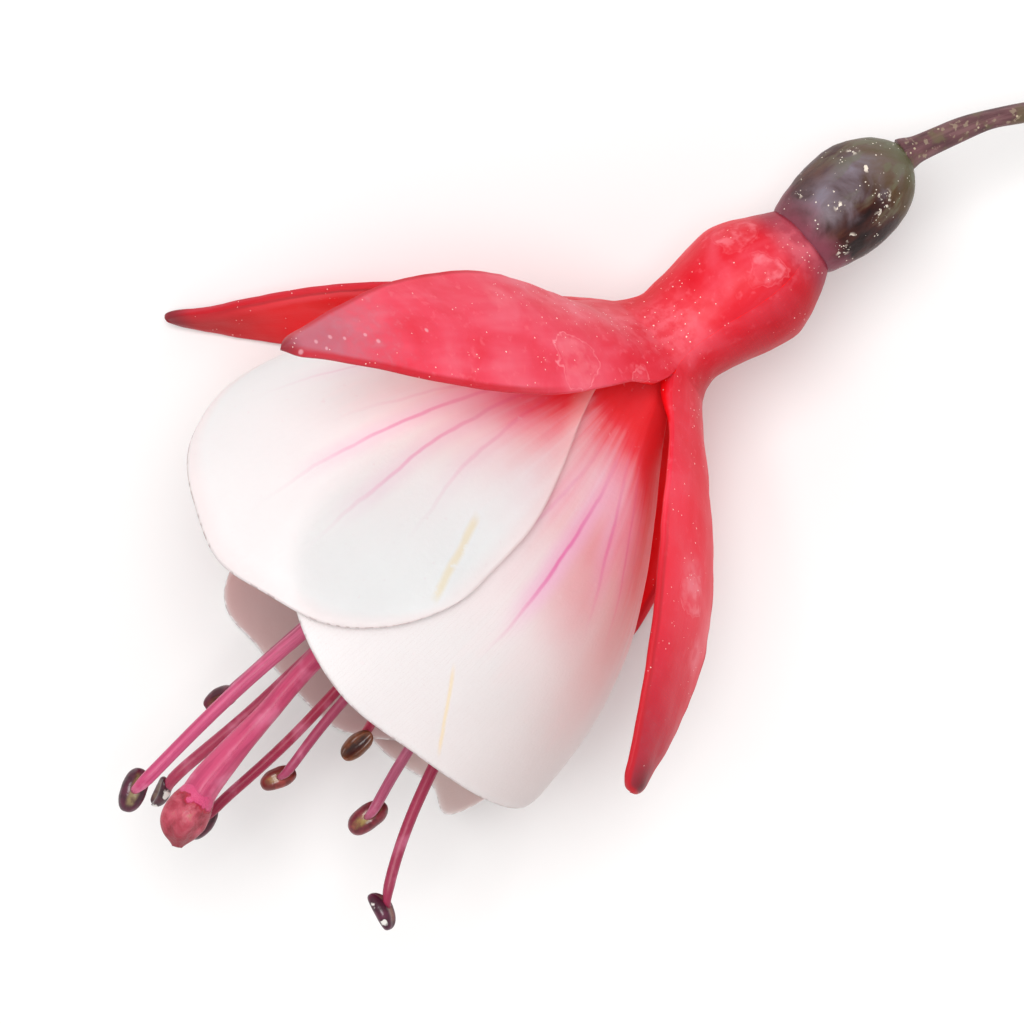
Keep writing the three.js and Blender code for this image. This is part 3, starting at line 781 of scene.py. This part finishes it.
def calyx_paint():
    """Waxy rose red: mottled outside, deep red inside, darker along the margins and dull at the tips."""
    paint = Paint("calyx_skin")
    along, side, edge = paint.along, paint.side, paint.edge
    streaks = paint.streaks(0.12, 0.55, 1.0)
    patches = paint.noise(0.22, 3.0, distortion=0.6)
    fine = paint.noise(1.6, 3.0)
    tone = plus(times(patches, 0.6), times(streaks, 0.4))
    tube = ramp(tone, [(0.38, "#DA1426"), (0.5, "#E02636"), (0.62, "#E64656")])
    blade = ramp(tone, [(0.36, "#E63448"), (0.5, "#EC485E"), (0.66, "#F06478")])
    paint.colour = mix(step(along, -3.0, 11.0), tube, blade)
    paint.coat(step(fine, 0.56, 0.75, 0.0, 0.25), "#F9808F")
    # A deeper red on the side away from the two upper sepals: partly deeper pigment, partly painted shade on
    # the tube's lower side.
    turned = times(step(side, -0.6, -4.2), step(along, 1.0, -2.5))
    paint.coat(times(turned, 0.75), "#A8121F")
    paint.coat(step(side, -3.5, -9.0, 0.0, 0.6), "#F01830")
    # Dull towards the tips, and darkest at the end of the front lower sepal.
    worn = plus(along, times(fine, 5.0))
    paint.coat(step(worn, 23.0, 31.5, 0.0, 0.8), "#B97483")
    paint.coat(times(paint.near(FRONT_LOWER_END, 7.5, 7.0), 0.75), "#A01E2E")
    paint.coat(paint.near(FRONT_LOWER_TIP, 0.9, 1.5), "#5E1620")
    outside = paint.colour
    # Inside, light catches a strip along the margins.
    paint.colour = ramp(tone, [(0.35, "#F60A14"), (0.6, "#FF1420")])
    paint.coat(step(along, 20.0, 30.0, 0.0, 0.8), "#960C14")
    lit = times(
        most(step(paint.across, 0.2, 1.0), step(along, 16.0, 8.0)),
        step(edge, 1.1, 0.4, 0.0, 0.5),
        step(along, 27.0, 19.0, 0.2, 1.0),
    )
    paint.coat(lit, "#FF6472")
    paint.colour = mix(paint.inner(), outside, paint.colour)
    margin = times(step(edge, 0.38, 0.1, 0.0, 0.8), step(along, 7.0, 15.0))
    paint.coat(margin, "#C4202C")
    paint.coat(step(along, 29.0, 30.8, 0.0, 0.75), "#6E2C34")
    # The neck, where red turns to the ovary's purple.
    neck = plus(along, times(streaks, 1.2))
    paint.coat(step(neck, -10.0, -12.0, 0.0, 0.85), "#9A3648")
    marks = 0.0
    for point, size, outline, fill in WATER_MARKS:
        distance = plus(paint.distance(point), swing(paint.noise(0.75, 3.0), 2.2))
        ring = band(distance, size - 0.14, size, size, size + 0.12)
        middle = step(distance, size, size - 0.4, 0.0, fill)
        marks = most(marks, times(ring, outline), middle)
    marks = times(marks, step(paint.noise(0.9, 3.0), 0.38, 0.62, 0.15, 0.8))
    paint.coat(marks, "#F88E9A")
    # Pollen: grains everywhere, more of them in the dusted patches and in a ring round the neck.
    dusty = paint.near_any(DUSTED, 0.7)
    pale = times(dusty, step(paint.noise(1.1, 4.0), 0.38, 0.6, 0.2, 0.55))
    paint.coat(pale, "#F27886")
    dusty = most(dusty, band(along, -12.6, -12.3, -12.0, -11.7))
    density = step(paint.noise(0.35, 2.0), 0.42, 0.7, 0.01, 0.2)
    density = plus(density, times(dusty, 0.4))
    grains = most(paint.grains(2.6, 0.11, density), paint.grains(4.2, 0.14, density))
    paint.coat(times(grains, 0.9), "#FFE4DC")
    # Droplets: slightly raised, with a pale painted highlight.
    drop_glints = paint.near_any(GLINTING_DROPS, 0.225, scale=0.525)
    paint.coat(times(drop_glints, 0.5), "#F4BCC6")
    paint.surface(step(tone, 0.3, 0.7, 0.5, 0.4), 0.15)
    paint.subsurface(0.22, (1.2, 0.25, 0.2), 0.0009)
    raised = times(most(grains, drop_glints), 0.5)
    relief = plus(times(paint.noise(4.5, 4.0), 0.35), times(streaks, 0.9), raised)
    paint.bump(relief, 0.35, 0.00012)
    return paint.material


def petal_paint(index):
    """White from the rim down, flushed red at the claw, with magenta veins that fan out and fade."""
    blade = PETALS[index]["blade"]
    paint = Paint("petal_skin_" + PETALS[index]["name"])
    reach, azimuth = paint.along, paint.across
    fan = paint.streaks(0.05, 0.22, 1.0)
    flush = plus(reach, swing(fan, 5.0), swing(paint.noise(0.25, 3.0), 3.0))
    if index:
        sooner = times(
            step(azimuth, blade + 20, blade - 18, 1.4, 3.1),
            step(reach, 2.8, 5.0),
            step(reach, 12.0, 7.5),
        )
        flush = plus(flush, sooner)
    else:
        redder = times(step(azimuth, 94, 66, 0.0, 3.7), step(reach, 14.0, 8.5))
        redder = plus(redder, step(reach, 7.8, 6.4, 0.0, 0.8))
        whiter = step(reach, 10.0, 14.0, 1.6, 4.0)
        flush = plus(flush, minus(whiter, redder))
    paint.colour = ramp(node_math("DIVIDE", flush, 22.0), [
        (0.0, "#FC0C14"), (0.2, "#FC1620"), (0.31, "#FA4A56"), (0.42, "#F999A2"),
        (0.55, "#FCC6CA"), (0.7, "#FFDEE1"), (0.86, "#FFEAEB"), (1.0, "#F6EEEE"),
    ])
    if index:
        # Towards the high margin painted shade greys the white, and the red runs further out.
        shade_grey = step(azimuth, blade - 40, blade + 40, 0.1, 0.62)
        paint.coat(times(shade_grey, step(reach, 6.0, 15.0)), "#BDAEAA")
        blush = times(
            step(azimuth, blade - 14, blade - 2),
            step(reach, 19.0, 14.0),
            step(azimuth, blade + 16, blade + 4, 0.0, 0.5),
            step(reach, 8.0, 12.0),
        )
        paint.coat(blush, "#E4868E")
        # Painted red light from the sepals, shining through and reflected, carries the red further out
        # towards the high margin.
        sepal_red_reflection = minus(flush, step(azimuth, blade - 12, blade + 40, 0.0, 5.7))
        paint.coat(step(sepal_red_reflection, 9.0, 3.0, 0.0, 0.7), "#EA3A44")
    else:
        # The first petal is painted whiter where the second lies under it: painted light that makes up for
        # the light the second keeps from shining through it.
        painted_lift = times(
            step(azimuth, 60.0, 70.0),
            step(reach, 27.0, 22.0),
            step(reach, 13.0, 17.0, 0.0, 0.9),
        )
        paint.coat(painted_lift, "#FFF6F5")
        paint.coat(step(paint.edge, 1.6, 0.1, 0.0, 0.5), "#FBD3D2")
    # The bell's radius here turns degrees into mm across.
    share = node_math("POWER", node_math("DIVIDE", most(reach, 0.0), BELL["opening"]), BELL["power"])
    grown = minus(1.0, node_math("EXPONENT", times(share, -1.0)))
    radius = plus(BELL["throat"], times(grown, BELL["mouth"] - BELL["throat"]))
    girth = times(radius, float(np.pi / 180))
    shifted = plus(azimuth, swing(paint.noise(0.3, 2.0), 2.4))

    def line(middle, turn, start, end, width, soft):
        """A mask for a line at azimuth `middle` at VEIN_REACH that turns by `turn` degrees for each mm."""
        where = plus(times(minus(reach, VEIN_REACH), turn), middle)
        off = times(apart(shifted, where), girth)
        shown = band(reach, start, start + soft, end - soft, end)
        return times(step(off, width, width * 0.15), shown)

    for middle, turn, end, strength in VEINS[index]:
        halo = line(middle, turn, 5.0, end * 0.92, 1.3, 5.0)
        paint.coat(times(halo, 0.34 * strength), "#F5AFD2")
        vein = line(middle, turn, 4.0, end, 0.21, end * 0.5)
        paint.coat(times(vein, 0.62 * strength), "#E2619F")
    for middle, turn, start, end, width in STREAKS.get(index, ()):
        broken = step(paint.noise(1.1, 3.0), 0.25, 0.45)
        paint.coat(times(line(middle, turn, start, end, width, 0.9), broken, 0.6), "#F6D29A")
    paint.coat(step(paint.noise(1.8, 3.0), 0.66, 0.8, 0.0, 0.3), "#F4D8DC")
    paint.coat(step(paint.edge, 0.22, 0.02, 0.0, 0.3), "#E8BDB8")
    shaded = mix(step(paint.side, -6.0, -12.0), srgb("#A97A76"), srgb("#B8A29C"))
    within = times(paint.inner(), step(reach, 8.0, 16.0, 0.3, 0.75))
    paint.colour = mix(within, paint.colour, shaded)
    paint.surface(0.55, 0.3)
    paint.subsurface(0.8, (1.0, 0.9, 0.9), 0.0009)
    paint.bump(plus(times(paint.noise(3.2, 4.0), 0.35), times(fan, 1.2)), 0.25, 0.00016)
    return paint.material


def ovary_paint():
    """Purple brown under a grey bloom that is partly a painted sheen, with painted shade on the lower side,
    olive at the stalk's end, and dusted with pale grains.
    """
    paint = Paint("ovary_skin")
    patches = paint.noise(0.45, 4.0, distortion=0.8)
    streaks = paint.streaks(0.3, 0.05, 1.0)
    bloom = ramp(patches, [(0.36, "#4C3838"), (0.48, "#68585E"), (0.6, "#7A6D75"), (0.72, "#86808E")])
    # Painted shade darkens the lower side to the dark skin under the bloom; the upper edge is darker too.
    side = plus(paint.side, swing(patches, 2.4))
    shaded_sides = most(step(side, -0.8, -2.3, 0.0, 0.95), step(side, 1.2, 2.4, 0.0, 0.85))
    dark_in_shade = ramp(streaks, [(0.35, "#1C0806"), (0.5, "#3C160E"), (0.65, "#5A3424")])
    paint.colour = mix(shaded_sides, bloom, dark_in_shade)
    away = plus(paint.along, times(patches, 3.0))
    paint.coat(step(away, -16.4, -18.4, 0.0, 0.6), "#66502F")
    paint.coat(step(away, -18.2, -20.2, 0.0, 0.55), "#5E6644")
    greenish = times(step(streaks, 0.52, 0.64, 0.0, 0.5), step(away, -14.5, -17.0))
    paint.coat(greenish, "#6E7058")
    paint.coat(step(away, -13.6, -11.6, 0.0, 0.95), "#83404F")
    clumped = paint.near_any(CLUMPS, 0.6)
    density = step(paint.noise(0.8, 3.0), 0.45, 0.66, 0.02, 0.25)
    density = plus(density, times(clumped, 0.35))
    crumbs = times(clumped, step(paint.noise(2.6, 4.0), 0.55, 0.59))
    grains = most(paint.grains(2.8, 0.12, density), paint.grains(4.6, 0.2, density), crumbs)
    paint.coat(grains, "#EFE2D2")
    paint.surface(0.4, 0.2)
    paint.subsurface(0.05, (1.0, 0.4, 0.3), 0.0005)
    relief = plus(times(paint.noise(2.2, 3.0), 0.6), times(grains, 0.7))
    paint.bump(relief, 0.5, 0.00014)
    return paint.material


def stalk_paint():
    """Brown red with olive patches, crumbs and grains, and pale green where it is cut."""
    paint = Paint("stalk_skin")
    lengthways = paint.streaks(0.5, 0.03, 1.0, detail=4.0)
    paint.colour = ramp(lengthways, [(0.35, "#57363A"), (0.5, "#6A4347"), (0.66, "#7C5658")])
    paint.coat(step(paint.noise(0.9, 3.0), 0.5, 0.66, 0.0, 0.6), "#6A6040")
    paint.coat(step(paint.noise(2.2, 4.0), 0.58, 0.66, 0.0, 0.55), "#A8977C")
    grains = paint.grains(2.4, 0.16, step(paint.noise(0.6, 2.0), 0.4, 0.7, 0.03, 0.35))
    paint.coat(times(grains, 0.8), "#CDBC9E")
    paint.coat(step(paint.along, STALK_CUT_FROM, STALK_CUT_FROM + 0.06), "#A9A06A")
    paint.surface(0.5, 0.4)
    paint.bump(plus(lengthways, times(grains, 0.6)), 0.45, 0.00014)
    return paint.material


def thread_paint(name, base, tip, length):
    """A filament or style: one colour at its root, another at its end, with fine streaks along it."""
    paint = Paint(name)
    streaks = paint.streaks(0.25, 0.04, 1.0)
    patches = paint.noise(0.5, 3.0)
    t = node_math("DIVIDE", paint.along, length)
    paint.colour = mix(step(t, 0.55, 1.0), srgb(base), srgb(tip))
    paint.coat(step(streaks, 0.4, 0.65, 0.0, 0.45), "#A02850")
    paint.coat(step(patches, 0.52, 0.72, 0.0, 0.35), "#EE93B4")
    paint.surface(0.4, 0.4)
    paint.subsurface(0.2, (1.0, 0.4, 0.5), 0.0005)
    paint.bump(plus(streaks, times(patches, 0.5)), 0.3, 0.0001)
    return paint.material


def anther_paint(name, skin, slit, pollen):
    """Dark skin, slits of another colour along it, and pale pollen, partly a painted glint, where pollen is
    above 0.
    """
    paint = Paint(name)
    patches = paint.noise(1.3, 4.0)
    paint.colour = mix(step(patches, 0.4, 0.64), srgb(skin), srgb(skin, 2.1))
    front = step(apart(paint.across, 270.0), 34.0, 12.0)
    back = step(apart(paint.across, 90.0), 30.0, 8.0, 0.0, 0.8)
    middle = step(node_math("ABSOLUTE", paint.along), 1.3, 0.7)
    torn = step(paint.noise(2.0, 3.0), 0.35, 0.55, 0.35, 1.0)
    paint.coat(times(most(front, back), middle, torn), slit)
    # Pale pollen that also serves as a painted glint.
    pollen_glint = step(paint.noise(0.9, 3.0), 0.62 - pollen, 0.68 - pollen)
    pollen_glint = times(pollen_glint, min(pollen * 20, 1.0))
    paint.coat(pollen_glint, "#E9E4DE")
    paint.surface(0.28, 0.6)
    paint.bump(plus(patches, times(pollen_glint, 0.8)), 0.5, 0.00014)
    return paint.material


def stigma_paint():
    """Blotched dull red, darkest at its end, with the style's pink running a little way up to a rim."""
    paint = Paint("stigma_skin")
    blotches = paint.noise(0.9, 4.0, distortion=0.5)
    stops = [(0.34, "#8C2434"), (0.48, "#AE3C4E"), (0.6, "#C8586A"), (0.7, "#C07470")]
    paint.colour = ramp(blotches, stops)
    end = plus(paint.along, times(blotches, 1.2))
    paint.coat(step(end, 3.3, 4.6, 0.0, 0.85), "#8A2834")
    cap = plus(paint.along, swing(paint.noise(1.1, 3.0), 1.8))
    paint.coat(step(cap, 1.15, 1.0), "#D8507E")
    rim = times(band(cap, 0.95, 1.08, 1.12, 1.3), 0.8)
    paint.coat(rim, "#B01F36")
    paint.surface(0.45, 0.45)
    paint.subsurface(0.15, (1.0, 0.4, 0.4), 0.0005)
    paint.bump(plus(paint.noise(5.0, 3.0), rim), 0.5, 0.00014)
    return paint.material


# ---------------------------------------------------------------- the flower

# Spots on the skin, each a point in the row frame and a size, in mm: the calyx's dried water marks, with the
# strength of their outlines and middles, the patches that pollen dusts, its droplets, whose pale colour is a
# painted highlight, and the ovary's clumps of pollen.
WATER_MARKS = [
    ((31.9, -0.6, 17.5), 1.25, 0.3, 0.7), ((18.6, 2.9, 25.5), 1.9, 1.0, 0.35),
    ((14.4, -13.1, 22.4), 1.5, 0.4, 0.6), ((31.9, 2.6, 16.2), 1.5, 0.2, 0.6),
    ((21.1, -0.7, 21.6), 0.8, 0.7, 0.4),
]
DUSTED = [
    ((24.6, 0.9, 17.6), 2.2), ((20.3, 6.5, 21.7), 2.5), ((34.8, -0.6, 15.9), 1.6), ((22.2, 3.0, 18.9), 2.2),
    ((17.4, 9.2, 26.9), 0.9), ((15.1, -12.2, 22.2), 1.2), ((12.0, -16.1, 21.6), 1.1),
]
GLINTING_DROPS = [
    ((5.9, 13.9, 39.2), 0.3), ((7.0, 13.8, 38.6), 0.24), ((7.8, 13.5, 37.8), 0.26), ((8.4, 12.9, 37.2), 0.22),
    ((9.5, 12.3, 36.2), 0.24), ((9.8, 11.5, 35.9), 0.28), ((12.5, 10.2, 33.2), 0.26),
    ((7.2, 13.1, 38.3), 0.2),
]
CLUMPS = [
    ((40.8, -2.1, 15.6), 0.45), ((40.3, -2.5, 15.4), 0.4), ((39.7, -2.9, 15.3), 0.45),
    ((36.5, -2.9, 15.0), 0.4), ((37.4, -2.6, 15.5), 0.3), ((38.1, -0.6, 16.2), 0.3),
    ((40.6, -1.4, 15.9), 0.35), ((41.1, 0.2, 15.7), 0.3), ((41.3, 1.6, 14.7), 0.35),
    ((36.9, 1.8, 14.9), 0.35),
]
FRONT_LOWER_END = (4.2, -19.4, 27.8)
FRONT_LOWER_TIP = (4.0, -19.9, 26.6)
STALK_CUT_FROM = 34.9  # mm along the stalk
VEIN_REACH = 12.0
# Each petal's veins: azimuth at VEIN_REACH, degrees turned for each mm, the reach where it ends, strength.
VEINS = [
    [(60.9, -0.3, 26, 1.0), (68.4, 0.35, 26, 0.9), (77.6, 0.9, 21, 0.5), (55.2, -0.8, 20, 0.35),
     (40, -1.0, 22, 0.5), (28, -1.5, 20, 0.4)],
    [(118.1, -0.1, 22, 1.5), (132.4, 1.3, 16.5, 1.1), (143.0, 1.7, 16, 0.9), (105.0, -0.6, 17, 0.5),
     (150, 1.6, 15, 0.4)],
    [(225, 0.0, 25, 1.2), (237, 0.9, 18, 0.7), (213, -0.9, 18, 0.7), (249, 1.5, 15, 0.4),
     (201, -1.5, 15, 0.4)],
    [(296, 0.2, 25, 1.2), (308, 0.9, 18, 0.7), (284, -0.9, 18, 0.7), (320, 1.5, 15, 0.4),
     (272, -1.5, 15, 0.4)],
]
# Cream streaks: azimuth at VEIN_REACH, degrees turned for each mm, where it starts and ends, and its width.
STREAKS = {0: [(86.4, 1.34, 15.6, 21.6, 0.42)], 1: [(81.0, 3.06, 22.6, 27.4, 0.26)]}
THREAD_LENGTHS = dict(filament=44.0, style=53.0)
# For each filament, its colour at the root and at the end.
FILAMENT_COLOURS = [
    ("#E07A9C", "#CC4E7C"), ("#B05070", "#A84468"), ("#C0486C", "#B2405E"), ("#A82240", "#9A1C40"),
    ("#9C3450", "#A8486A"), ("#B43048", "#B03050"), ("#C47490", "#A24466"), ("#A42A48", "#982A4A"),
]
# For each anther, the colour of its skin and of its slit, and how much pale pollen, partly a painted glint,
# sticks to it.
ANTHERS = [
    ("#3E1224", "#96865A", 0.0), ("#4A1A28", "#7A5A3A", 0.0), ("#3A1420", "#7A5A4A", 0.06),
    ("#401020", "#7A4A3A", 0.0), ("#6A2420", "#8E6A34", 0.0), ("#5A3018", "#3A1A14", 0.0),
    ("#5E1A24", "#A08A48", 0.0), ("#401026", "#8A5A4A", 0.06),
]

calyx(calyx_paint())
for number in range(len(PETALS)):
    petal(number, petal_paint(number))
ovary(ovary_paint())
stalk(stalk_paint())
for number, (colours, looks) in enumerate(zip(FILAMENT_COLOURS, ANTHERS)):
    name = "filament_skin_" + str(number + 1)
    filament(number, thread_paint(name, *colours, THREAD_LENGTHS["filament"]))
    anther(number, anther_paint("anther_skin_" + str(number + 1), *looks))
style(thread_paint("style_skin", "#C4456C", "#CE5078", THREAD_LENGTHS["style"]))
stigma(stigma_paint())


# ---------------------------------------------------------------- floor, light and camera

CAMERA_AIM = Vector((9.15, -1.59, 14.8)) * MM
CAMERA_DISTANCE = 300 * MM
FRAME_WIDTH = 66.56  # mm across the picture at the flower's axis
SENSOR = 36.0
IMAGE_RIGHT = Vector((0.7547, -0.6561, 0.0)).normalized()
IMAGE_UP = Vector((0.6561, 0.7547, 0.0)).normalized()
FLOOR_HALF = 1.5
WORLD_STRENGTH = 0.6


def floor_paint():
    paint = Paint("floor_paint")
    tone = paint.noise(0.02, 2.0)
    paint.colour = mix(tone, srgb("#F4F3F2"), srgb("#F8F8F7"))
    paint.surface(0.9, 0.5)
    return paint.material


def make_floor():
    mesh = bpy.data.meshes.new("floor")
    corners = [(FLOOR_HALF * x, FLOOR_HALF * y, 0) for x, y in ((-1, -1), (1, -1), (1, 1), (-1, 1))]
    mesh.from_pydata(corners, [], [(0, 1, 2, 3)])
    mesh.materials.append(floor_paint())
    obj = add_object("floor", mesh)


def make_camera():
    data = bpy.data.cameras.new("camera")
    data.sensor_width = SENSOR
    data.lens = SENSOR * (CAMERA_DISTANCE / MM) / FRAME_WIDTH
    data.clip_start, data.clip_end = 0.01, 10.0
    obj = add_object("camera", data)
    turn = Matrix((IMAGE_RIGHT, IMAGE_UP, IMAGE_RIGHT.cross(IMAGE_UP))).transposed().to_4x4()
    obj.matrix_world = Matrix.Translation(CAMERA_AIM + Vector((0, 0, CAMERA_DISTANCE))) @ turn
    bpy.context.scene.camera = obj


def soft_light(name, left, up, height, size, power):
    """An area light, placed by how far to the picture's left, towards its top and above its aim it stands."""
    data = bpy.data.lights.new(name, "AREA")
    data.shape = "DISK"
    data.size = size
    data.energy = power
    obj = add_object(name, data)
    place = CAMERA_AIM - IMAGE_RIGHT * left + IMAGE_UP * up + Vector((0, 0, height))
    obj.location = place
    obj.rotation_euler = (place - CAMERA_AIM).to_track_quat("Z", "Y").to_euler()
    obj.visible_camera = False


def make_world():
    world = bpy.data.worlds.new("world")
    world.use_nodes = True
    background = world.node_tree.nodes["Background"]
    background.inputs["Color"].default_value = (1.0, 1.0, 1.0, 1.0)
    background.inputs["Strength"].default_value = WORLD_STRENGTH
    bpy.context.scene.world = world


make_floor()
make_camera()
make_world()
soft_light("key", 0.045, 0.05, 0.5, 0.3, 1.75)
bpy.context.scene.view_settings.view_transform = "Standard"
